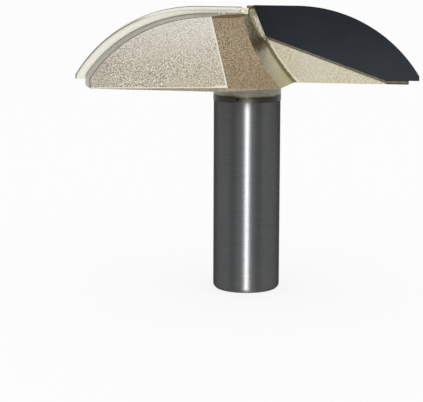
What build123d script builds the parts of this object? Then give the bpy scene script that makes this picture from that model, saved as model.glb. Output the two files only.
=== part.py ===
from build123d import *
import math
import os

# Two-wing router bit for a wide convex profile: a one-piece steel body (shank, neck
# and mushroom head) with two carbide tips brazed into seats cut in the head.
#
# Frame: Z is the spin axis, the shank's end face is Z = 0 and the cutting edges are
# at the top. The first wing points along +X with its rake face towards -Y. The
# second wing is the first one turned half a turn about Z.
# Lengths are millimetres, angles are degrees.

# ---- Shank and neck ----
shank_diameter = 12.7  # half-inch collet size, ground
shank_ground_length = 36.3  # from the end face to the unground neck
shank_chamfer = 0.45
neck_diameter = 12.85  # turned and plated, not ground
neck_length = 3.05
neck_fillet_radius = 0.9  # where the neck runs into the head's underside

# ---- Cutting profile, as the edges sweep it ----
cutting_diameter = 65.0
profile_radius = 27.2  # convex arc, tangent to the flat top edge
profile_drop = 13.0  # from the flat top edge down to the end of the arc
edge_height = 0.9  # straight vertical edge below the arc
tip_to_underside = 0.75  # the tips end this far above the head's underside

# ---- Turned head, set back from the cutting profile all round ----
head_top_step = 1.2  # below the flat top edge
head_end_step = 1.95  # inside the cutting diameter
head_flat_step = 1.2  # its flat top is this much smaller in radius
head_corner_radius = 1.2  # lower outer corner

# ---- Carbide tips ----
hook_angle = 5.0  # rake face against the radius
tip_thickness = 2.0
tip_proud = 0.3  # rake face in front of the wing's front face
tip_relief_angle = 7.0  # clearance ground behind the cutting edge
tip_bottom_length = 6.2  # straight lower edge, inwards from the corner
tip_diagonal_angle = 19.5  # long lower edge, from level
tip_inner_angle = 22.0  # inner edge, from upright
tip_inner_gap = 0.72  # inner upper corner, from the middle of the rake plane

# ---- Braze ----
braze_gap = 0.12  # between tip and seat
braze_step = 0.14  # the braze line stays this far below the rake face
bead_length = 1.4  # lump of braze past each tip's inner upper corner
bead_thickness = 1.7
bead_drop = 0.12  # below the cutting edge
bead_fillet = 0.35

# ---- Gullet in front of each rake face, cut by a large tapered disc ----
gullet_radius = 39.2  # of the wall's foot on the wing's front face
gullet_reach = 37.6  # disc's centre, outwards from the middle of the rake plane
gullet_rise = 12.15  # disc's centre, above the flat top edge
gullet_corner_radius = 0.3  # wall into front face
gullet_draft = 5.5  # the wall opens towards the front
seat_land_width = 0.45  # strip of steel beside the seat, ground together with the tip
seat_land_step = 0.05  # below the rake face

# ---- Two sloping facets on the back of each wing ----
ridge_reach = 2.8  # foot of the ridge between them, along the wing
ridge_depth = 15.9  # and behind the axis
outer_facet_heading = -8.9  # in plan, against the wing, which thins outwards
outer_facet_lean = 21.6  # in towards the top
inner_facet_heading = 38.7  # in plan: it runs from the ridge down to the gullet
inner_facet_lean = 27.2
ridge_land_width = 0.26  # the ridge is blunted by a narrow flat
foot_bevel_height = 0.8  # undercut along the foot of both facets, at the ridge
foot_bevel_end_height = 0.1  # where it fades out at their far ends
foot_bevel_undercut = 32.0  # from upright
inner_foot_length = 9.0  # from the ridge to the gullet

# ---- Derived heights and radii ----
shank_radius = shank_diameter / 2
neck_radius = neck_diameter / 2
cutting_radius = cutting_diameter / 2
underside_z = shank_ground_length + neck_length
tip_bottom_z = underside_z + tip_to_underside
arc_end_z = tip_bottom_z + edge_height
top_z = arc_end_z + profile_drop
head_top_z = top_z - head_top_step
head_radius = cutting_radius - head_end_step
seat_depth = tip_thickness + braze_gap


def half_chord(radius, distance):
    """Half the width of a circle at a distance from its centre."""
    return math.sqrt(radius**2 - distance**2)


flat_radius = cutting_radius - half_chord(profile_radius, profile_radius - profile_drop)
head_flat_radius = flat_radius - head_flat_step
head_arc_end_z = head_top_z - profile_radius + half_chord(profile_radius, head_radius - head_flat_radius)

# ---- Rake plane of the first wing: X outwards along the wing, Y up, Z forwards ----
hook = math.radians(hook_angle)
rake_behind_axis = cutting_radius * math.sin(hook)
rake_reach = cutting_radius * math.cos(hook)  # cutting corner, from the plane's middle
rake_plane = Plane(
    origin=(rake_behind_axis * math.sin(hook), rake_behind_axis * math.cos(hook), 0),
    x_dir=(math.cos(hook), -math.sin(hook), 0),
    z_dir=(-math.sin(hook), -math.cos(hook), 0),
)
beyond = cutting_diameter  # reaches past the whole head, for cutting tools


def half_turn(shape):
    """The same shape on the second wing."""
    return shape.rotate(Axis.Z, 180)


def dome_arc(flat_r, flat_z, end_r, end_z):
    """Convex arc of the profile radius, tangent to a flat top."""
    end_angle = math.asin((end_r - flat_r) / profile_radius)
    middle = end_angle / 2
    middle_point = (
        flat_r + profile_radius * math.sin(middle),
        flat_z - profile_radius * (1 - math.cos(middle)),
    )
    return ThreePointArc((flat_r, flat_z), middle_point, (end_r, end_z))


def turned_blank():
    """Shank, neck and mushroom head as they leave the lathe."""
    head_corner = min(head_corner_radius, 0.8 * (head_arc_end_z - underside_z))
    with BuildPart() as blank:
        with BuildSketch(Plane.XZ) as section:
            with BuildLine():
                Polyline(
                    (0, head_top_z),
                    (0, 0),
                    (shank_radius - shank_chamfer, 0),
                    (shank_radius, shank_chamfer),
                    (shank_radius, shank_ground_length),
                    (neck_radius, shank_ground_length),
                    (neck_radius, underside_z),
                    (head_radius, underside_z),
                    (head_radius, head_arc_end_z),
                )
                dome_arc(head_flat_radius, head_top_z, head_radius, head_arc_end_z)
                Line((head_flat_radius, head_top_z), (0, head_top_z))
            make_face()
            corners = section.vertices()
            neck_corner = corners.sort_by_distance((neck_radius, 0, underside_z))[0]
            fillet(neck_corner, neck_fillet_radius)
            outer_corner = section.vertices().sort_by_distance((head_radius, 0, underside_z))[0]
            fillet(outer_corner, head_corner)
        revolve(axis=Axis.Z)
    return blank.part


def gullet_tool():
    """The tapered disc that clears the space in front of the rake face."""
    floor = -tip_proud
    flank = beyond * math.tan(math.radians(gullet_draft))
    # The corner arc meets the floor at the gullet radius.
    corner_run = gullet_corner_radius * math.tan(math.radians(90 - gullet_draft) / 2)
    rim = gullet_radius + corner_run
    disc_plane = rake_plane.shift_origin(rake_plane.from_local_coords((gullet_reach, top_z + gullet_rise, 0)))
    section_plane = Plane(origin=disc_plane.origin, x_dir=-disc_plane.x_dir, z_dir=disc_plane.y_dir)
    with BuildPart() as tool:
        with BuildSketch(section_plane) as section:
            with BuildLine():
                Polyline(
                    (0, floor),
                    (rim, floor),
                    (rim + flank, floor + beyond),
                    (0, floor + beyond),
                    close=True,
                )
            make_face()
            rim_point = section_plane.from_local_coords((rim, floor, 0))
            rim_corner = section.vertices().sort_by_distance(rim_point)[0]
            fillet(rim_corner, gullet_corner_radius)
        revolve(axis=Axis(disc_plane.origin, disc_plane.z_dir))
    return tool.part


def facet_plane(heading, lean_angle):
    """One back facet, from the foot of the ridge: X along its foot, Y down the slope, Z out of the steel."""
    turn = math.radians(heading)
    lean = math.radians(lean_angle)
    return Plane(
        origin=(ridge_reach, ridge_depth, underside_z),
        x_dir=(math.cos(turn), math.sin(turn), 0),
        z_dir=(-math.sin(turn) * math.cos(lean), math.cos(turn) * math.cos(lean), math.sin(lean)),
    )


def foot_bevel_plane(facet, lean_angle, up_the_ridge, foot_length):
    """Undercut along the foot of one facet, highest at the ridge. The foot length is signed."""
    at_ridge = facet.origin + up_the_ridge * foot_bevel_height
    slope_height = foot_bevel_end_height / math.cos(math.radians(lean_angle))
    far_end = facet.from_local_coords(Vector(foot_length, -slope_height, 0))
    line = (far_end - at_ridge) * math.copysign(1, foot_length)
    # The facet's outward direction is tipped downwards about the bevel's upper line.
    outwards = facet.z_dir.rotate(Axis((0, 0, 0), line), -lean_angle - foot_bevel_undercut)
    return Plane(origin=at_ridge, x_dir=line, z_dir=outwards)


def ridge_land_plane(outer, inner):
    """Flat across the ridge, at equal angles to both facets."""
    outwards = (outer.z_dir + inner.z_dir).normalized()
    half_angle = math.radians(outer.z_dir.get_angle(inner.z_dir) / 2)
    depth = ridge_land_width / 2 * math.tan(half_angle)
    return Plane(origin=outer.origin - outwards * depth, z_dir=outwards)


def outside_of(plane):
    """Everything on the outer side of a plane, above the head's underside."""
    outside = plane * Box(4 * beyond, 4 * beyond, beyond, align=(Align.CENTER, Align.CENTER, Align.MIN))
    head_space = Box(4 * beyond, 4 * beyond, beyond, align=(Align.CENTER, Align.CENTER, Align.MIN))
    return outside & Pos(0, 0, underside_z) * head_space


def back_tools():
    """What the two back facets, the flat on their ridge and the bevels along their feet take away."""
    outer = facet_plane(outer_facet_heading, outer_facet_lean)
    inner = facet_plane(inner_facet_heading, inner_facet_lean)
    ridge = outer.z_dir.cross(inner.z_dir)
    up_the_ridge = ridge / ridge.Z
    outer_foot_length = half_chord(head_radius, ridge_depth) - ridge_reach
    outer_bevel = foot_bevel_plane(outer, outer_facet_lean, up_the_ridge, outer_foot_length)
    inner_bevel = foot_bevel_plane(inner, inner_facet_lean, up_the_ridge, -inner_foot_length)
    limit = in_front_of_second_wing()
    inner_planes = [ridge_land_plane(outer, inner), inner, inner_bevel]
    inner_tools = [outside_of(plane) & limit for plane in inner_planes]
    return [outside_of(outer), outside_of(outer_bevel)] + inner_tools


def in_front_of_second_wing():
    """The space in front of the second wing, where its neighbour's facet may cut. The seat land stays."""
    slab = Box(4 * beyond, 4 * beyond, 2 * beyond, align=(Align.CENTER, Align.CENTER, Align.MIN))
    return half_turn(rake_plane * Pos(0, 0, -tip_proud) * slab - seat_land())


def tip_outline(margin):
    """Seat outline on the rake plane: the tip's own edges inside, open outwards and upwards.

    The margin moves the inner and the diagonal edge into the steel.
    """
    diagonal = math.radians(tip_diagonal_angle)
    inner = math.radians(tip_inner_angle)
    lower_inner_x = rake_reach - tip_bottom_length
    # Diagonal: z = tip_bottom_z + (lower_inner_x - x) * tan(diagonal)
    # Inner edge: x = tip_inner_gap + (top_z - z) * tan(inner)
    rise = math.tan(diagonal)
    slope = math.tan(inner)
    inner_x = (tip_inner_gap + (top_z - tip_bottom_z - lower_inner_x * rise) * slope) / (1 - rise * slope)
    inner_z = tip_bottom_z + (lower_inner_x - inner_x) * rise
    high_z = top_z + cutting_radius
    high_x = tip_inner_gap - cutting_radius * slope
    far_x = 2 * cutting_radius
    edges = Polyline(
        (far_x, tip_bottom_z),
        (lower_inner_x, tip_bottom_z),
        (inner_x, inner_z),
        (high_x, high_z),
        (far_x, high_z),
        close=True,
    )
    outline = make_face(edges)
    if margin > 0:
        outline = offset(outline, amount=margin, kind=Kind.INTERSECTION)
    return outline


def tip():
    """Carbide tip: seat outline trimmed by the cutting profile, with relief ground behind it."""
    plate = extrude(rake_plane * tip_outline(0), amount=-tip_thickness)
    below = tip_bottom_z - cutting_radius
    with BuildSketch() as envelope:
        with BuildLine():
            Polyline(
                (-flat_radius, top_z),
                (-flat_radius, below),
                (rake_reach, below),
                (rake_reach, arc_end_z),
            )
            dome_arc(flat_radius - cutting_radius + rake_reach, top_z, rake_reach, arc_end_z)
            Line((flat_radius - cutting_radius + rake_reach, top_z), (-flat_radius, top_z))
        make_face()
    ground = extrude(rake_plane * envelope.sketch, amount=-tip_thickness, taper=tip_relief_angle)
    return plate & ground


def seat_tool():
    """Pocket for one tip, with the braze gap behind and beside it."""
    outline = rake_plane * Pos(0, 0, -seat_depth) * tip_outline(braze_gap)
    return extrude(outline, amount=seat_depth + tip_proud, dir=rake_plane.z_dir)


def seat_land():
    """Steel kept beside the tip, almost level with its rake face."""
    outline = rake_plane * Pos(0, 0, -seat_depth) * tip_outline(seat_land_width)
    return extrude(outline, amount=seat_depth - seat_land_step, dir=rake_plane.z_dir)


def braze_bead():
    """Rounded lump on the head's flat top that closes the inner end of one seat."""
    height = head_top_step - bead_drop
    to_tip = height * math.tan(math.radians(tip_inner_angle))
    corner = (Align.MIN, Align.MIN, Align.MIN)
    bead = Box(bead_length + 2 * to_tip, height, bead_thickness, align=corner)
    upper = bead.edges().filter_by_position(Axis.Y, height / 2, height)
    bead = fillet(upper.filter_by_position(Axis.X, 0, bead_length + to_tip), bead_fillet)
    return rake_plane * Pos(tip_inner_gap - bead_length, head_top_z, -tip_thickness) * bead


def braze_seam(blank, one_tip):
    """Silver braze: the film behind and beside a tip, and the bead at its inner end."""
    outline = rake_plane * Pos(0, 0, -seat_depth) * tip_outline(braze_gap)
    filled = extrude(outline, amount=seat_depth - braze_step, dir=rake_plane.z_dir)
    return (filled & blank) + braze_bead() - one_tip


def cutter_body(blank):
    """The steel body: the turned blank after both gullets, both backs and both seats are cut."""
    body = blank
    for tool in [gullet_tool() - seat_land(), seat_tool()] + back_tools():
        body = body - tool - half_turn(tool)
    return body


def main():
    blank = turned_blank()
    first_tip = tip()
    first_seam = braze_seam(blank, first_tip)
    nodes = {
        "cutter_body": cutter_body(blank),
        "carbide_tip_1": first_tip,
        "carbide_tip_2": half_turn(first_tip),
        "braze_seam_1": first_seam,
        "braze_seam_2": half_turn(first_seam),
    }
    os.makedirs("parts", exist_ok=True)
    for name, shape in nodes.items():
        export_step(shape, f"parts/{name}.step")


main()
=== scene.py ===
import math

import bmesh
import bpy
from mathutils import Matrix, Vector, noise


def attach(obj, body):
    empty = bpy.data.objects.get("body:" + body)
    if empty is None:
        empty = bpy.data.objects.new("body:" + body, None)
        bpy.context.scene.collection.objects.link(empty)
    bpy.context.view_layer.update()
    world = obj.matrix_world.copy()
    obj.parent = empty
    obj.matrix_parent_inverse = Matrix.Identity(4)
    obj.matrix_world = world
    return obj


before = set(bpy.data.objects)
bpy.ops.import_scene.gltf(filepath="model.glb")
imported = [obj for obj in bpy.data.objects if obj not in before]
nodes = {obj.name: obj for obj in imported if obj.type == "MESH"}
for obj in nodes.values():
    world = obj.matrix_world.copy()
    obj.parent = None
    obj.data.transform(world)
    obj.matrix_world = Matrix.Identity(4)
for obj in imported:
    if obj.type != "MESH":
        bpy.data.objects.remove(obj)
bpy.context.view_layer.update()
MM = 0.001
PER_METRE = 1000  # millimetres
scene = bpy.context.scene

# ---- Sizes repeated from the CAD part, in millimetres, and angles in radians ----
TOP_Z = 54.0
HEAD_TOP_Z = 52.8
UNDERSIDE_Z = 39.35
SHANK_TOP_Z = 36.3
CUTTING_RADIUS = 32.5
PROFILE_RADIUS = 27.2
PROFILE_DROP = 13.0
HOOK = math.radians(5.0)
TIP_THICKNESS = 2.0
TIP_PROUD = 0.3
TIP_RELIEF = math.radians(7.0)
TIP_BOTTOM_Z = 40.1
TIP_BOTTOM_LENGTH = 6.2
TIP_DIAGONAL = math.radians(19.5)
TIP_INNER_GAP = 0.72
TIP_INNER_ANGLE = math.radians(22.0)
BRAZE_GAP = 0.12
SEAT_LAND_WIDTH = 0.45
GULLET_RADIUS = 39.2
GULLET_REACH = 37.6
GULLET_RISE = 12.15
GULLET_CORNER = 0.25  # about the run of the small arc at the wall's foot
GULLET_DRAFT = math.radians(5.5)
RIDGE_FOOT = Vector((2.8, 15.9, UNDERSIDE_Z))
FOOT_LINE_Z = 40.16  # upper line of the foot bevel, carried on to the spin axis
FOOT_LINE_SLOPE = 0.029  # and its fall towards the wing's end
OUTER_FACET = (math.radians(-8.9), math.radians(21.6))  # heading and lean
INNER_FACET = (math.radians(38.7), math.radians(27.2))

# ---- Rake plane of the first wing: outwards, upwards, forwards ----
RAKE_OUT = Vector((math.cos(HOOK), -math.sin(HOOK), 0))
RAKE_FRONT = Vector((-math.sin(HOOK), -math.cos(HOOK), 0))
RAKE_DISTANCE = CUTTING_RADIUS * math.sin(HOOK)
RAKE_REACH = CUTTING_RADIUS * math.cos(HOOK)
RAKE_MIDDLE = -RAKE_FRONT * RAKE_DISTANCE
LOWER_INNER = RAKE_REACH - TIP_BOTTOM_LENGTH
GULLET_CENTRE_Z = TOP_Z + GULLET_RISE
ARC_RUN = math.sqrt(PROFILE_RADIUS**2 - (PROFILE_RADIUS - PROFILE_DROP) ** 2)
ARC_CENTRE = (RAKE_REACH - ARC_RUN, TOP_Z - PROFILE_RADIUS)


def on_rake(out, up, front):
    """Point in millimetres given from the rake plane of the first wing."""
    return RAKE_MIDDLE + RAKE_OUT * out + RAKE_FRONT * front + Vector((0, 0, up))


def half_turned(vector, side):
    """Swaps a place or direction between the wings. Side 1 leaves it, side -1 turns it by half a turn."""
    return Vector((side * vector.x, side * vector.y, vector.z))


def facet_normal(heading, lean):
    level = math.cos(lean)
    return Vector((-math.sin(heading) * level, math.cos(heading) * level, math.sin(lean)))


OUTER_NORMAL = facet_normal(*OUTER_FACET)
INNER_NORMAL = facet_normal(*INNER_FACET)
RIDGE_NORMAL = (OUTER_NORMAL + INNER_NORMAL).normalized()


def srgb(r, g, b):
    """Linear colour from the usual 0 to 255 values."""
    shares = (value / 255 for value in (r, g, b))
    return tuple(c / 12.92 if c <= 0.04045 else ((c + 0.055) / 1.055) ** 2.4 for c in shares)


# ================================================================ material nodes
class Nodes:
    """Short names for the nodes that the materials here are made of. Lengths are millimetres."""

    def __init__(self, name):
        self.material = bpy.data.materials.new(name)
        self.material.use_nodes = True
        self.tree = self.material.node_tree
        self.shader = self.tree.nodes["Principled BSDF"]
        self.place = self.new("ShaderNodeTexCoord").outputs["Object"]

    def new(self, kind, **settings):
        node = self.tree.nodes.new(kind)
        for key, value in settings.items():
            setattr(node, key, value)
        return node

    def put(self, socket, value):
        """Links an output to a socket, or sets a constant on it."""
        if isinstance(value, bpy.types.NodeSocket):
            self.tree.links.new(value, socket)
        elif isinstance(value, tuple) and len(value) == 3 and len(socket.default_value) == 4:
            socket.default_value = (*value, 1)
        else:
            socket.default_value = value

    def finished(self, colour, metallic, roughness, normal):
        """The material with its main inputs set."""
        values = {"Base Color": colour, "Metallic": metallic, "Roughness": roughness, "Normal": normal}
        for name, value in values.items():
            self.put(self.shader.inputs[name], value)
        return self.material

    # ---- arithmetic
    def calc(self, operation, a, b=0.0, c=0.0):
        node = self.new("ShaderNodeMath", operation=operation)
        for socket, value in zip(node.inputs, (a, b, c)):
            self.put(socket, value)
        return node.outputs[0]

    def plus(self, a, b):
        return self.calc("ADD", a, b)

    def minus(self, a, b):
        return self.calc("SUBTRACT", a, b)

    def times(self, a, b):
        return self.calc("MULTIPLY", a, b)

    def diagonal(self, a, b):
        """Length of a diagonal from its two sides."""
        return self.calc("SQRT", self.plus(self.times(a, a), self.times(b, b)))

    def centred(self, pattern, swing):
        """A pattern from 0 to 1, moved to swing about 0."""
        return self.calc("MULTIPLY_ADD", pattern, swing, -swing / 2)

    # ---- masks
    def step(self, value, low, high):
        """0 below low, 1 above high, smooth between. Low may be above high."""
        node = self.new("ShaderNodeMapRange", interpolation_type="SMOOTHSTEP", clamp=True)
        falling = low > high
        self.put(node.inputs["Value"], value)
        self.put(node.inputs["From Min"], min(low, high))
        self.put(node.inputs["From Max"], max(low, high))
        self.put(node.inputs["To Min"], 1.0 if falling else 0.0)
        self.put(node.inputs["To Max"], 0.0 if falling else 1.0)
        return node.outputs["Result"]

    def within(self, value, low, high, feather=0.06):
        """1 between low and high, 0 outside."""
        rising = self.step(value, low - feather, low + feather)
        return self.times(rising, self.step(value, high + feather, high - feather))

    def near(self, point, radius, feather):
        """1 within a radius of a point, fading out over the feather."""
        node = self.new("ShaderNodeVectorMath", operation="DISTANCE")
        self.put(node.inputs[0], self.place)
        self.put(node.inputs[1], tuple(point * MM))
        return self.step(self.times(node.outputs["Value"], PER_METRE), radius + feather, radius)

    def edge(self, reach, inside):
        """1 at convex edges (inside) or in corners (outside), within the reach."""
        node = self.new("ShaderNodeAmbientOcclusion", samples=8, inside=inside, only_local=inside)
        self.put(node.inputs["Distance"], reach * MM)
        return self.minus(1.0, node.outputs["AO"])

    # ---- places. Both wings read the same, because one is the other after half a turn
    def height(self):
        """Height above the shank's end."""
        node = self.new("ShaderNodeSeparateXYZ")
        self.put(node.inputs[0], self.place)
        return self.times(node.outputs["Z"], PER_METRE)

    def along(self, direction):
        """Distance from the spin axis in a horizontal direction and its opposite."""
        node = self.new("ShaderNodeVectorMath", operation="DOT_PRODUCT")
        self.put(node.inputs[0], self.place)
        self.put(node.inputs[1], tuple(direction * PER_METRE))
        return self.calc("ABSOLUTE", node.outputs["Value"])

    def from_gullet_centre(self):
        """Distance from the gullet disc's centre on the rake plane."""
        out = self.minus(GULLET_REACH, self.along(RAKE_OUT))
        return self.diagonal(out, self.minus(GULLET_CENTRE_Z, self.height()))

    def below_diagonal(self):
        """Distance below the tip's long lower edge."""
        run = self.minus(LOWER_INNER, self.along(RAKE_OUT))
        edge_z = self.calc("MULTIPLY_ADD", run, math.tan(TIP_DIAGONAL), TIP_BOTTOM_Z)
        return self.times(self.minus(edge_z, self.height()), math.cos(TIP_DIAGONAL))

    def inside_outer_facet(self):
        """Depth in the steel below the outer facet."""
        level = self.along(Vector((OUTER_NORMAL.x, OUTER_NORMAL.y, 0)))
        reached = self.plus(level, self.times(self.height(), OUTER_NORMAL.z))
        return self.minus(RIDGE_FOOT.dot(OUTER_NORMAL), reached)

    # ---- patterns, colours and normals
    def noise(self, size, detail=2.0, roughness=0.5, stretch=(1, 1, 1)):
        """Noise from 0 to 1 whose features are about that large."""
        node = self.new("ShaderNodeTexNoise")
        mapping = self.new("ShaderNodeMapping")
        self.put(mapping.inputs["Vector"], self.place)
        self.put(mapping.inputs["Scale"], Vector(stretch))
        self.put(node.inputs["Vector"], mapping.outputs[0])
        self.put(node.inputs["Scale"], PER_METRE / size)
        self.put(node.inputs["Detail"], detail)
        self.put(node.inputs["Roughness"], roughness)
        return node.outputs["Fac"]

    def mix(self, factor, a, b):
        node = self.new("ShaderNodeMix", data_type="RGBA")
        self.put(node.inputs["Factor"], factor)
        self.put(node.inputs[6], a)
        self.put(node.inputs[7], b)
        return node.outputs[2]

    def paint(self, base, mask, share, colour):
        """The base colour with a share of another colour where the mask is 1."""
        return self.mix(self.times(mask, share), base, colour)

    def bump(self, height, depth, normal=None):
        node = self.new("ShaderNodeBump")
        self.put(node.inputs["Height"], height)
        self.put(node.inputs["Distance"], depth * MM)
        self.put(node.inputs["Strength"], 1.0)
        if normal is not None:
            self.put(node.inputs["Normal"], normal)
        return node.outputs["Normal"]

    def rounded(self, radius):
        """Normals as if the sharp edges were broken by that radius."""
        node = self.new("ShaderNodeBevel", samples=6)
        self.put(node.inputs["Radius"], radius * MM)
        return node.outputs["Normal"]


# ================================================================ marks, painted shade and painted highlights on the plating
def front_marks(n, colour):
    """Run-out braze along the gullet's foot, painted shade in the crease at the gullet's foot, a painted
    shadow below the land round the tip, and a darker patch below the tip's bottom end.
    """
    ragged = n.plus(n.from_gullet_centre(), n.centred(n.noise(0.7, detail=3), 0.5))
    braze = n.within(ragged, GULLET_RADIUS - 0.6, GULLET_RADIUS - 0.25)
    colour = n.paint(colour, braze, 0.8, srgb(246, 242, 222))
    # Painted shade: the crease where the gullet wall meets the front is darkened.
    crease_shade = n.step(ragged, GULLET_RADIUS - 0.3, GULLET_RADIUS - 0.12)
    colour = n.paint(colour, crease_shade, 0.85, srgb(112, 106, 70))
    # Painted shadow: a dark line just below the ground land along the tip's lower edge.
    land_step_shadow = n.within(n.below_diagonal(), SEAT_LAND_WIDTH - 0.1, SEAT_LAND_WIDTH + 0.14, 0.04)
    colour = n.paint(colour, land_step_shadow, 0.8, srgb(62, 56, 48))
    below_tip = n.step(n.along(RAKE_OUT), LOWER_INNER - 0.3, LOWER_INNER + 0.3)
    return n.paint(colour, below_tip, 0.9, srgb(58, 56, 52))


def turned_marks(n, colour):
    """Dark lines of painted shade where the turned surface meets the seat and the outer facet, and flux
    at the top.
    """
    seat = RAKE_DISTANCE + TIP_THICKNESS + BRAZE_GAP
    above_underside = n.step(n.height(), UNDERSIDE_Z + 0.02, UNDERSIDE_Z + 0.25)
    # Painted shade along the corner beside the tip's seat, kept off the underside.
    seat_shade = n.times(n.step(n.along(RAKE_FRONT), seat + 2.0, seat + 0.9), above_underside)
    colour = n.paint(colour, seat_shade, 0.9, srgb(64, 60, 50))
    # Painted shade: a dark line along the edge of the outer facet.
    facet_edge_shade = n.step(n.inside_outer_facet(), 0.95, 0.4)
    colour = n.paint(colour, facet_edge_shade, 0.9, srgb(56, 52, 46))
    at_top = n.step(n.height(), HEAD_TOP_Z - 0.6, HEAD_TOP_Z - 0.1)
    flux = n.times(n.step(n.along(RAKE_OUT), 11.0, 7.5), at_top)
    mottle = n.step(n.noise(0.8, detail=3), 0.36, 0.66)
    return n.paint(colour, flux, 0.85, n.mix(mottle, srgb(98, 88, 62), srgb(140, 130, 100)))


def inner_facet_marks(n, colour):
    """Flux residue along the top edge, and a browner foot."""
    foot = n.step(n.height(), 45.5, 40.5)
    colour = n.paint(colour, foot, 0.3, srgb(150, 132, 96))
    level = n.plus(n.height(), n.centred(n.noise(1.1, detail=3), 0.4))
    flux = n.step(level, HEAD_TOP_Z - 0.64, HEAD_TOP_Z - 0.5)
    return n.paint(colour, flux, 0.85, srgb(98, 86, 58))


def outer_facet_marks(n, colour):
    """A greyer far end, a browner foot beside the ridge, and a painted highlight along the line above the
    foot bevel, wider near the ridge.
    """
    out = n.along(RAKE_OUT)
    far_end = n.step(out, 21.0, 29.0)
    colour = n.paint(colour, far_end, 0.3, srgb(158, 158, 146))
    beside_ridge = n.times(n.step(out, 13.0, 4.0), n.step(n.height(), 44.5, 40.5))
    colour = n.paint(colour, beside_ridge, 0.3, srgb(196, 180, 146))
    above_bevel = n.minus(n.height(), n.calc("MULTIPLY_ADD", out, -FOOT_LINE_SLOPE, FOOT_LINE_Z))
    line_width = n.calc("MULTIPLY_ADD", n.step(out, 5.0, 3.0), 0.3, 0.16)
    # Painted highlight: a bright line above the foot bevel, wider near the ridge as a painted glint.
    painted_highlight = n.step(n.minus(above_bevel, line_width), 0.08, -0.02)
    return n.paint(colour, painted_highlight, 0.75, srgb(248, 243, 226))


def relief_marks(n, colour):
    """Ground carbide beside the cutting edge, ahead of the pale rest of the tip."""
    ground = n.step(n.along(RAKE_FRONT), RAKE_DISTANCE + 0.95, RAKE_DISTANCE + 0.75)
    return n.paint(colour, ground, 1.0, srgb(44, 47, 50))


def tip_back_marks(n, colour):
    """The dark ground margin along the tip's profile, as seen on its back."""
    out = n.along(RAKE_OUT)
    past_centre = n.calc("MAXIMUM", n.minus(out, ARC_CENTRE[0]), 0.0)
    radius = n.diagonal(past_centre, n.minus(n.height(), ARC_CENTRE[1]))
    edge = PROFILE_RADIUS - TIP_THICKNESS * math.tan(TIP_RELIEF)
    over_arc = n.times(n.step(radius, edge - 0.24, edge - 0.16), n.step(n.height(), 52.6, 51.0))
    at_end = n.step(out, RAKE_REACH - 0.5, RAKE_REACH - 0.42)
    colour = n.paint(colour, n.calc("MAXIMUM", over_arc, at_end), 0.9, srgb(66, 66, 64))
    ragged = n.plus(radius, n.centred(n.noise(1.2), 0.3))
    inside_margin = n.within(ragged, edge - 0.5, edge - 0.25, 0.1)
    return n.paint(colour, inside_margin, 0.25, srgb(150, 146, 132))


# ================================================================ materials
CLOUD_SIZE = 5.0  # of the patches in which the plating's colour varies
CORNER_SHADE_REACH = 0.5  # out of corners, over which shade is painted
EDGE_WEAR_AND_HIGHLIGHT_REACH = 0.22  # in from edges, over which wear and a highlight are painted
EDGE_RADIUS = 0.1  # to which plated edges are broken


def plated(
    name,
    dark,
    light,
    grain_size,
    grain_depth,
    roughness,
    tint=None,
    corner_shade=srgb(70, 60, 42),
    contrast=1.0,
    painted_top_light=0.0,
    edge_wear_and_highlight=0.7,
    marks=None,
):
    """Nickel-plated metal: the grain of its surface, bright edges that are partly wear and partly a
    painted highlight, and painted shade in corners.

    The tint clouds the grain. Painted_top_light is the share of painted light that makes the top paler,
    and edge_wear_and_highlight is the share of bright edges. Marks is a function that paints on the
    colour.
    """
    n = Nodes(name)
    grain = n.noise(grain_size, roughness=0.7)
    half = 0.2 / contrast
    colour = n.mix(n.step(grain, 0.5 - half, 0.5 + half), dark, light)
    if tint is not None:
        colour = n.paint(colour, n.step(n.noise(CLOUD_SIZE), 0.35, 0.7), 0.4, tint)
    # Painted light: the top is made paler, as if lit more strongly.
    if painted_top_light > 0:
        top_light = n.step(n.calc("MULTIPLY_ADD", n.noise(CLOUD_SIZE), 3.0, n.height()), 43.5, TOP_Z)
        colour = n.paint(colour, top_light, painted_top_light, srgb(240, 238, 232))
    # Painted shade: corners are darkened by an ambient-occlusion mask.
    shaded_corners = n.step(n.edge(CORNER_SHADE_REACH, inside=False), 0.2, 0.6)
    colour = n.paint(colour, shaded_corners, 0.8, corner_shade)
    # Bright convex edges: partly wear of the plating, partly a painted highlight.
    worn_and_highlit_edges = n.step(n.edge(EDGE_WEAR_AND_HIGHLIGHT_REACH, inside=True), 0.45, 0.8)
    colour = n.paint(colour, worn_and_highlit_edges, edge_wear_and_highlight, srgb(250, 244, 226))
    if marks is not None:
        colour = marks(n, colour)
    return n.finished(colour, 1.0, roughness, n.bump(grain, grain_depth, n.rounded(EDGE_RADIUS)))


def ground_shank():
    """Cylindrically ground steel: the marks run round it, so lights draw out along it."""
    n = Nodes("ground_shank")
    marks = n.noise(2.4, detail=3, roughness=0.7, stretch=(1, 1, 24))
    colour = n.mix(n.step(marks, 0.3, 0.7), srgb(85, 86, 87), srgb(94, 95, 96))
    colour = n.paint(colour, n.step(n.noise(9), 0.4, 0.75), 0.4, srgb(100, 99, 96))
    n.put(n.shader.inputs["Anisotropic"], 0.9)
    n.put(n.shader.inputs["Anisotropic Rotation"], 0.25)
    n.put(n.shader.inputs["Specular Tint"], srgb(164, 165, 166))
    tangent = n.new("ShaderNodeTangent", direction_type="RADIAL", axis="Z")
    n.put(n.shader.inputs["Tangent"], tangent.outputs[0])
    return n.finished(colour, 1.0, 0.42, n.bump(marks, 0.0012, n.rounded(0.08)))


NECK_PIT = Vector((-1.55, -6.24, 36.95))


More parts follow.
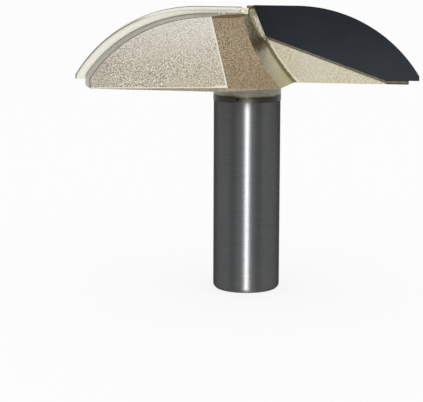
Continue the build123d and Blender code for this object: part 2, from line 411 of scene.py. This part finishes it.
def turned_neck():
    """Plated neck with a dark band at its lower end that is a painted dark reflection, and one pit in it.
    """
    n = Nodes("turned_neck")
    marks = n.noise(1.6, detail=3, roughness=0.7, stretch=(1, 1, 10))
    level = n.plus(n.height(), n.centred(n.noise(3.0), 0.9))
    colour = n.mix(n.step(marks, 0.3, 0.7), srgb(122, 119, 108), srgb(146, 143, 131))
    # Painted reflection: a dark band, with a darker edge, at the neck's lower end.
    reflection_band = n.step(level, 37.5, 37.1)
    colour = n.mix(reflection_band, colour, srgb(60, 58, 53))
    reflection_band_edge = n.times(n.step(level, 36.8, 37.2), n.step(level, 37.7, 37.3))
    colour = n.paint(colour, reflection_band_edge, 0.7, srgb(48, 44, 38))
    pit = n.near(NECK_PIT, radius=0.12, feather=0.28)
    colour = n.mix(pit, colour, srgb(18, 17, 16))
    return n.finished(colour, 1.0, 0.4, n.bump(marks, 0.01))


def gullet_wall():
    """Milled and plated wall, mottled at the top and stained brown below the tip's inner end, with
    painted shade in its corners.
    """
    n = Nodes("gullet_wall")
    grain = n.noise(0.4, detail=3, roughness=0.65)
    flecks = n.noise(0.75, detail=3, roughness=0.6)
    level = n.plus(n.height(), n.centred(n.noise(1.8, detail=3), 2.6))
    colour = n.mix(n.step(grain, 0.3, 0.7), srgb(222, 217, 200), srgb(250, 247, 235))
    foot = n.step(level, 43.2, 41.0)
    colour = n.paint(colour, foot, 0.5, srgb(226, 216, 180))
    upper = n.step(level, 46.4, 47.8)
    mottled = n.mix(n.step(flecks, 0.36, 0.64), srgb(172, 152, 110), srgb(242, 230, 200))
    colour = n.paint(colour, upper, 0.9, mottled)
    stain = n.times(n.step(level, 45.2, 46.4), n.step(level, 48.9, 47.2))
    browns = n.mix(n.step(flecks, 0.4, 0.6), srgb(126, 104, 72), srgb(166, 144, 110))
    colour = n.paint(colour, stain, 0.85, browns)
    # Painted shade in the corners of the wall.
    shaded_corners = n.step(n.edge(0.9, inside=False), 0.2, 0.6)
    colour = n.paint(colour, shaded_corners, 0.5, srgb(128, 118, 84))
    fine = n.bump(grain, 0.012, n.rounded(EDGE_RADIUS))
    return n.finished(colour, 1.0, 0.42, n.bump(n.times(flecks, upper), 0.09, fine))


def carbide_face():
    """Finely ground tungsten carbide."""
    n = Nodes("carbide_face")
    grain = n.noise(0.35, detail=3, roughness=0.6)
    level = n.plus(n.height(), n.centred(n.noise(7), 6.0))
    colour = n.mix(n.step(level, 40, 53), srgb(56, 60, 64), srgb(42, 46, 50))
    colour = n.paint(colour, n.step(grain, 0.45, 0.75), 0.2, srgb(62, 66, 70))
    n.put(n.shader.inputs["Specular Tint"], srgb(96, 98, 100))
    return n.finished(colour, 1.0, 0.38, n.bump(grain, 0.004))


def braze_metal(name, dark, light, roughness):
    """Silver braze that has flowed and set."""
    n = Nodes(name)
    lumps = n.noise(0.9, detail=3, roughness=0.55)
    colour = n.mix(n.step(lumps, 0.35, 0.65), dark, light)
    flux = n.step(n.noise(1.7), 0.55, 0.72)
    colour = n.paint(colour, flux, 0.6, srgb(112, 96, 60))
    return n.finished(colour, 1.0, roughness, n.bump(lumps, 0.06))


def run_out_braze():
    """Braze that wetted the steel: bright beside the tip, olive with flux towards the wall."""
    n = Nodes("run_out_braze")
    lumps = n.noise(0.5, detail=3, roughness=0.6)
    cloud = n.noise(1.4, detail=3)
    colour = n.mix(n.step(lumps, 0.38, 0.62), srgb(244, 236, 202), srgb(255, 253, 236))
    tip_edge = n.plus(n.times(n.minus(TOP_Z, n.height()), math.tan(TIP_INNER_ANGLE)), TIP_INNER_GAP)
    from_tip = n.plus(n.minus(tip_edge, n.along(RAKE_OUT)), n.centred(cloud, 0.7))
    in_front = n.step(n.along(RAKE_FRONT), RAKE_DISTANCE + 1.4, RAKE_DISTANCE + 0.8)
    top = n.step(n.plus(n.height(), n.times(cloud, 0.9)), 52.0, 53.0)
    olive = n.times(n.calc("MAXIMUM", n.step(from_tip, 0.45, 0.75), top), in_front)
    colour = n.paint(colour, olive, 0.8, srgb(142, 128, 92))
    foot = n.step(n.plus(n.height(), n.times(cloud, 1.2)), 49.3, 48.4)
    colour = n.paint(colour, foot, 0.6, srgb(120, 98, 66))
    return n.finished(colour, 0.35, 0.4, n.bump(lumps, 0.07))


BODY_FINISHES = {
    "outer_facet": plated(
        "blasted_outer",
        dark=srgb(140, 133, 117),
        light=srgb(236, 229, 214),
        grain_size=0.22,
        grain_depth=0.03,
        roughness=0.42,
        tint=srgb(206, 192, 168),
        contrast=1.8,
        painted_top_light=0.45,
        marks=outer_facet_marks,
    ),
    # The inner facet has the same plating as the outer one; its darker, browner colours are painted
    # shade, for the side that faces away from the main light.
    "inner_facet": plated(
        "blasted_inner_shaded",
        dark=srgb(112, 95, 70),
        light=srgb(198, 182, 156),
        grain_size=0.22,
        grain_depth=0.025,
        roughness=0.42,
        tint=srgb(156, 136, 104),
        contrast=1.8,
        marks=inner_facet_marks,
    ),
    # The ridge's near-white colour is partly wear and partly a painted highlight along its rounded edge.
    "ridge": plated(
        "worn_and_highlit_ridge",
        dark=srgb(236, 230, 214),
        light=srgb(250, 246, 234),
        grain_size=0.4,
        grain_depth=0.01,
        roughness=0.35,
    ),
    "bevel": plated(
        "foot_bevel",
        dark=srgb(140, 130, 112),
        light=srgb(196, 186, 166),
        grain_size=0.3,
        grain_depth=0.03,
        roughness=0.45,
    ),
    "front": plated(
        "wing_front",
        dark=srgb(190, 182, 154),
        light=srgb(240, 232, 206),
        grain_size=0.26,
        grain_depth=0.02,
        roughness=0.45,
        tint=srgb(212, 210, 194),
        painted_top_light=0.45,
        marks=front_marks,
    ),
    "land": plated(
        "ground_land",
        dark=srgb(104, 98, 88),
        light=srgb(136, 130, 118),
        grain_size=0.5,
        grain_depth=0.006,
        roughness=0.35,
        edge_wear_and_highlight=0.1,
    ),
    "turned": plated(
        "turned_head",
        dark=srgb(150, 147, 131),
        light=srgb(178, 175, 160),
        grain_size=0.7,
        grain_depth=0.008,
        roughness=0.35,
        edge_wear_and_highlight=0.2,
        marks=turned_marks,
    ),
    "gullet": gullet_wall(),
    "shank": ground_shank(),
    "neck": turned_neck(),
}
TIP_FINISHES = {
    "face": carbide_face(),
    "relief": plated(
        "tip_relief",
        dark=srgb(228, 225, 210),
        light=srgb(248, 246, 234),
        grain_size=0.3,
        grain_depth=0.01,
        roughness=0.42,
        edge_wear_and_highlight=0.1,
        marks=relief_marks,
    ),
    "back": plated(
        "tip_back",
        dark=srgb(244, 241, 222),
        light=srgb(255, 254, 246),
        grain_size=0.3,
        grain_depth=0.016,
        roughness=0.4,
        corner_shade=srgb(120, 112, 84),
        edge_wear_and_highlight=0.1,
        marks=tip_back_marks,
    ),
}
SEAM_FINISHES = {
    "bead": braze_metal("braze_bright", srgb(196, 188, 158), srgb(244, 240, 222), 0.34),
    # The braze is darker olive on its side that faces forwards.
    "front_facing": braze_metal("braze_front_facing", srgb(78, 68, 46), srgb(160, 148, 112), 0.45),
    "film": braze_metal("braze_dark", srgb(50, 46, 36), srgb(92, 84, 62), 0.5),
}
RUN_OUT_BRAZE = run_out_braze()

# ================================================================ finishes on the CAD nodes
NECK_REACH = 7.6  # just outside the neck's fillet
TURNED_FROM = 9.0  # nearer the axis, bits of the gullet wall face straight outwards too
HEIGHT_SLACK = 0.01
BEAD_CLEARANCE = 0.05
# Cosines above which a polygon lies in a known plane
SAME_PLANE = 0.999
SAME_FACET = 0.9995
# Cosines between a polygon's normal and the direction that its zone does or doesn't face
SIDEWAYS_SLACK = 0.03
BEVEL_LEAN = 0.2
PROFILE_LEAN = 0.05
FRONT_FACING_LEAN = 0.3


def body_zone(place, facing):
    """Name of the finish at a point of the steel body."""
    radius = math.hypot(place.x, place.y)
    if radius < NECK_REACH and place.z < UNDERSIDE_Z + HEIGHT_SLACK:
        return "shank" if place.z < SHANK_TOP_Z + HEIGHT_SLACK else "neck"
    facets = {"outer_facet": OUTER_NORMAL, "inner_facet": INNER_NORMAL, "ridge": RIDGE_NORMAL}
    for side in (1, -1):
        on_first = half_turned(facing, side)
        if on_first.dot(RAKE_FRONT) > SAME_PLANE:
            front = (half_turned(place, side) - RAKE_MIDDLE).dot(RAKE_FRONT)
            return "land" if front > -TIP_PROUD / 2 else "front"
        for zone, normal in facets.items():
            if on_first.dot(normal) > SAME_FACET:
                return zone
    outwards = Vector((place.x, place.y, 0)).normalized()
    sideways = abs(facing.dot(outwards.cross(Vector((0, 0, 1)))))
    revolved = radius > TURNED_FROM and sideways < SIDEWAYS_SLACK and facing.dot(outwards) > 0
    if revolved or abs(facing.z) > SAME_PLANE:
        return "turned"
    return "bevel" if facing.z < -BEVEL_LEAN else "gullet"


def tip_zone(place, facing):
    """Name of the finish at a point of the first tip."""
    front = facing.dot(RAKE_FRONT)
    if front > SAME_PLANE:
        return "face"
    on_profile = max(facing.dot(RAKE_OUT), facing.z) > PROFILE_LEAN
    return "relief" if on_profile and front > -SAME_PLANE else "back"


def seam_zone(place, facing):
    """Name of the finish at a point of the first seam. Its bead stands above the head's top."""
    if place.z < HEAD_TOP_Z + BEAD_CLEARANCE:
        return "film"
    return "front_facing" if facing.dot(RAKE_FRONT) > FRONT_FACING_LEAN else "bead"


def dress(node, finishes, zone_of, side=1):
    """Gives each polygon of a CAD node the finish of its zone, read as on the first wing."""
    mesh = node.data
    mesh.materials.clear()
    names = list(finishes)
    for name in names:
        mesh.materials.append(finishes[name])
    for polygon in mesh.polygons:
        place = half_turned(polygon.center / MM, side)
        zone = zone_of(place, half_turned(polygon.normal, side))
        polygon.material_index = names.index(zone)


WINGS = ((1, 1), (2, -1))  # number and side
dress(nodes["cutter_body"], BODY_FINISHES, body_zone)
for number, side in WINGS:
    dress(nodes[f"carbide_tip_{number}"], TIP_FINISHES, tip_zone, side)
    dress(nodes[f"braze_seam_{number}"], SEAM_FINISHES, seam_zone, side)

# ================================================================ braze that ran out of the seats
FILLET_LOW_Z = 47.7
FILLET_HIGH_Z = 53.3
FILLET_ROWS = 72
FILLET_COLUMNS = 14
FILLET_EDGE_FRONT = -0.07  # its edge on the tip, from the rake plane
FILLET_DEPTHS = (1.9, 3.3)  # how far in front of the rake plane it reaches, low and high up
FILLET_HOLLOW = 0.55
FILLET_SWELL = 0.12
FILLET_LUMPS = 0.4  # swell of the lumps on it
FILLET_SEED = 3.7
CORNER_SINK = 0.06  # how far its edges lie inside the gullet wall
WALL_SINK = 0.05
BEAD_LUMPS = 0.45
BEAD_SEED = 11.3
BEADS = (  # out, up, front, radius
    (2.35, 48.0, 0.12, 0.34),
    (2.0, 48.55, 0.34, 0.3),
    (1.75, 49.25, 0.55, 0.26),
    (2.9, 47.55, 0.0, 0.24),
    (3.5, 47.25, -0.06, 0.16),
    (3.9, 52.78, -2.3, 0.27),
    (4.7, 52.76, -2.28, 0.22),
    (0.35, 53.2, -2.1, 0.34),
    (-0.35, 53.05, -2.0, 0.26),
)


def gullet_wall_out(up, front):
    """How far out the gullet wall is on the rake plane, at a height and a depth."""
    radius = GULLET_RADIUS + GULLET_CORNER + front * math.tan(GULLET_DRAFT)
    return GULLET_REACH - math.sqrt(radius**2 - (GULLET_CENTRE_Z - up) ** 2)


def tip_edge_out(up):
    """How far out the tip's inner edge is, at a height."""
    return TIP_INNER_GAP + (TOP_Z - up) * math.tan(TIP_INNER_ANGLE)


def curve_point(start, middle, end, t):
    """Quadratic curve from start to end, drawn towards the middle."""
    return (1 - t) ** 2 * start + 2 * t * (1 - t) * middle + t**2 * end


def fillet_ring(share, seed):
    """Section of the first wing's fillet at a share of its height: a lumpy hollow and a point inside."""
    level = FILLET_LOW_Z + (FILLET_HIGH_Z - FILLET_LOW_Z) * share
    fade = math.sin(math.pi * share) ** 0.5
    hollow = FILLET_HOLLOW * fade
    low_depth, high_depth = FILLET_DEPTHS
    depth = (low_depth + (high_depth - low_depth) * share) * fade + 0.02
    tip_out = tip_edge_out(level)
    corner_out = gullet_wall_out(level, 0) - CORNER_SINK
    wall_out = gullet_wall_out(level, depth) - WALL_SINK
    # The curve's middle is drawn into the corner, which makes the fillet hollow.
    middle_out = tip_out + (corner_out - tip_out) * (0.35 + 0.4 * hollow)
    middle_front = FILLET_EDGE_FRONT + 0.4 * depth * (1 - 0.5 * hollow)
    ring = []
    for column in range(FILLET_COLUMNS + 1):
        t = column / FILLET_COLUMNS
        out = curve_point(tip_out, middle_out, wall_out, t)
        front = curve_point(FILLET_EDGE_FRONT, middle_front, depth, t)
        lump = noise.fractal(Vector((out * 1.6 + seed, level * 1.3, front * 1.6)), 1.0, 2.0, 3)
        swell = math.sin(math.pi * t) * fade * (FILLET_SWELL + FILLET_LUMPS * lump)
        ring.append(on_rake(out + 0.5 * swell, level, front + 0.8 * swell))
    ring.append(on_rake(corner_out - 0.05, level, FILLET_EDGE_FRONT - 0.1))
    return ring


def finished_piece(name, edit):
    """A smooth piece of run-out braze on the body, from an edited mesh."""
    mesh = bpy.data.meshes.new(name)
    edit.to_mesh(mesh)
    edit.free()
    mesh.materials.append(RUN_OUT_BRAZE)
    mesh.polygons.foreach_set("use_smooth", [True] * len(mesh.polygons))
    piece = bpy.data.objects.new(name, mesh)
    scene.collection.objects.link(piece)
    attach(piece, "root")


def braze_fillet(name, side, seed):
    """Lumpy fillet of braze between a tip's inner edge and the gullet wall."""
    edit = bmesh.new()
    rings = []
    for row in range(FILLET_ROWS + 1):
        ring = fillet_ring(row / FILLET_ROWS, seed)
        rings.append([edit.verts.new(half_turned(point, side) * MM) for point in ring])
    for lower, upper in zip(rings, rings[1:]):
        for k in range(len(lower)):
            edit.faces.new((lower[k - 1], lower[k], upper[k], upper[k - 1]))
    edit.faces.new(rings[0])
    edit.faces.new(rings[-1])
    bmesh.ops.recalc_face_normals(edit, faces=edit.faces)
    finished_piece(name, edit)


def braze_lumps(name, side, seed):
    """Small uneven beads of braze spilt along the seat."""
    edit = bmesh.new()
    for number, (out, up, front, radius) in enumerate(BEADS):
        made = bmesh.ops.create_icosphere(edit, subdivisions=3, radius=radius)
        for vertex in made["verts"]:
            lump = noise.noise(vertex.co * 3.5 + Vector((seed, number * 7.0, 0)))
            local = vertex.co * (1 + BEAD_LUMPS * lump)
            # The bead is stretched along the seat and flattened on it.
            place = on_rake(out + local.x * 1.25, up + local.z * 0.85, front + local.y * 0.7)
            vertex.co = half_turned(place, side) * MM
    finished_piece(name, edit)


for number, side in WINGS:
    braze_fillet(f"braze_fillet_{number}", side, FILLET_SEED * number)
    braze_lumps(f"braze_lumps_{number}", side, BEAD_SEED * number)

# ================================================================ camera
EYE = Vector((11.2, -299.7, 71.84))
PITCH = math.radians(8.68)
YAW = math.radians(2.14)
ROLL = math.radians(0.38)
LENS = 135.26
SHIFT = (-0.0835, -0.1144)


def add_camera():
    """Camera solved from the edges of the shank and the outlines of the wings."""
    data = bpy.data.cameras.new("camera")
    data.sensor_width = 36
    data.lens = LENS
    data.shift_x, data.shift_y = SHIFT
    data.clip_start = 0.01
    data.clip_end = 20
    camera = bpy.data.objects.new("camera", data)
    scene.collection.objects.link(camera)
    ahead = math.cos(PITCH)
    forward = Vector((-math.sin(YAW) * ahead, math.cos(YAW) * ahead, -math.sin(PITCH)))
    level = forward.cross(Vector((0, 0, 1))).normalized()
    upright = level.cross(forward)
    right = level * math.cos(ROLL) + upright * math.sin(ROLL)
    up = upright * math.cos(ROLL) - level * math.sin(ROLL)
    turn = Matrix((right, up, -forward)).transposed().to_4x4()
    camera.matrix_world = Matrix.Translation(EYE * MM) @ turn
    scene.camera = camera


add_camera()

# ================================================================ floor and world
FLOOR_HALF_SIZE = 6  # metres
FLOOR_GREY = 0.86
FLOOR_GLOW = 0.8  # share of plain white that the camera and mirrors see


def flat_mesh(name, half_size):
    mesh = bpy.data.meshes.new(name)
    edit = bmesh.new()
    bmesh.ops.create_grid(edit, x_segments=1, y_segments=1, size=half_size)
    edit.to_mesh(mesh)
    edit.free()
    return mesh


def seen_directly(tree):
    """1 for camera, glossy and transmission rays."""
    path = tree.nodes.new("ShaderNodeLightPath")
    total = path.outputs["Is Camera Ray"]
    for kind in ("Is Glossy Ray", "Is Transmission Ray"):
        larger = tree.nodes.new("ShaderNodeMath")
        larger.operation = "MAXIMUM"
        tree.links.new(total, larger.inputs[0])
        tree.links.new(path.outputs[kind], larger.inputs[1])
        total = larger.outputs[0]
    return total


def pale_floor():
    """Floor that keeps a soft shadow and otherwise shows nearly white."""
    look = bpy.data.materials.new("pale_floor")
    look.use_nodes = True
    tree = look.node_tree
    shader = tree.nodes["Principled BSDF"]
    shader.inputs["Base Color"].default_value = (FLOOR_GREY, FLOOR_GREY, FLOOR_GREY, 1)
    shader.inputs["Roughness"].default_value = 0.9
    share = tree.nodes.new("ShaderNodeMath")
    share.operation = "MULTIPLY"
    share.inputs[1].default_value = FLOOR_GLOW
    tree.links.new(seen_directly(tree), share.inputs[0])
    blend = tree.nodes.new("ShaderNodeMixShader")
    tree.links.new(share.outputs[0], blend.inputs[0])
    tree.links.new(shader.outputs[0], blend.inputs[1])
    tree.links.new(tree.nodes.new("ShaderNodeEmission").outputs[0], blend.inputs[2])
    tree.links.new(blend.outputs[0], tree.nodes["Material Output"].inputs["Surface"])
    return look


world = bpy.data.worlds.new("studio")
scene.world = world
world.use_nodes = True
world.node_tree.nodes["Background"].inputs["Color"].default_value = (1, 1, 1, 1)

floor = bpy.data.objects.new("floor", flat_mesh("floor", FLOOR_HALF_SIZE))
scene.collection.objects.link(floor)
floor.data.materials.append(pale_floor())


# ================================================================ lamps and cards, in metres and watts
WHITE = (1, 1, 1)
DARK_CARD_REACH = 0.8
DARK_CARD_Z = 0.1
DARK_CARD_GREY = srgb(90, 90, 90)


def aimed(name, data, place, target, axis):
    """A new object at a place, with one of its axes towards a target."""
    item = bpy.data.objects.new(name, data)
    scene.collection.objects.link(item)
    item.location = place
    item.rotation_mode = "QUATERNION"
    item.rotation_quaternion = (Vector(target) - Vector(place)).to_track_quat(axis, "Y")
    return item


def area_lamp(name, place, target, width, height, watts):
    lamp = bpy.data.lights.new(name, "AREA")
    lamp.shape = "RECTANGLE"
    lamp.size, lamp.size_y = width, height
    lamp.energy = watts
    aimed(name, lamp, place, target, "-Z")


def card(name, place, target, width, height, colour, flag=False):
    """Studio card that the camera never sees. A flag also keeps the lamps off what is behind it."""
    item = aimed(name, flat_mesh(name, 0.5), place, target, "Z")
    item.scale = (width, height, 1)
    look = bpy.data.materials.new(name)
    look.use_nodes = True
    tree = look.node_tree
    glow = tree.nodes.new("ShaderNodeEmission")
    glow.inputs["Color"].default_value = (*colour, 1)
    tree.links.new(glow.outputs[0], tree.nodes["Material Output"].inputs["Surface"])
    item.data.materials.append(look)
    item.visible_camera = False
    item.visible_diffuse = flag
    item.visible_shadow = flag


area_lamp("shank_strip", (0.042, -0.8, 0.016), (0, 0, 0.016), width=0.14, height=0.02, watts=9)
area_lamp("left_softbox", (-0.6, -0.9, 0.8), (0, 0, 0.04), width=0.6, height=0.6, watts=0.6)
card("head_flag", (0.006, -0.1, 0.0463), (0.006, 0, 0.0463), 0.12, 0.025, WHITE, flag=True)
for name, azimuth in (("left_dark_card", -46), ("right_dark_card", 44)):
    heading = math.radians(azimuth)
    sideways, ahead = math.sin(heading), math.cos(heading)
    place = (DARK_CARD_REACH * sideways, -DARK_CARD_REACH * ahead, DARK_CARD_Z)
    card(name, place, (0, 0, DARK_CARD_Z), 0.3, 1.4, DARK_CARD_GREY)

scene.view_settings.view_transform = "Standard"
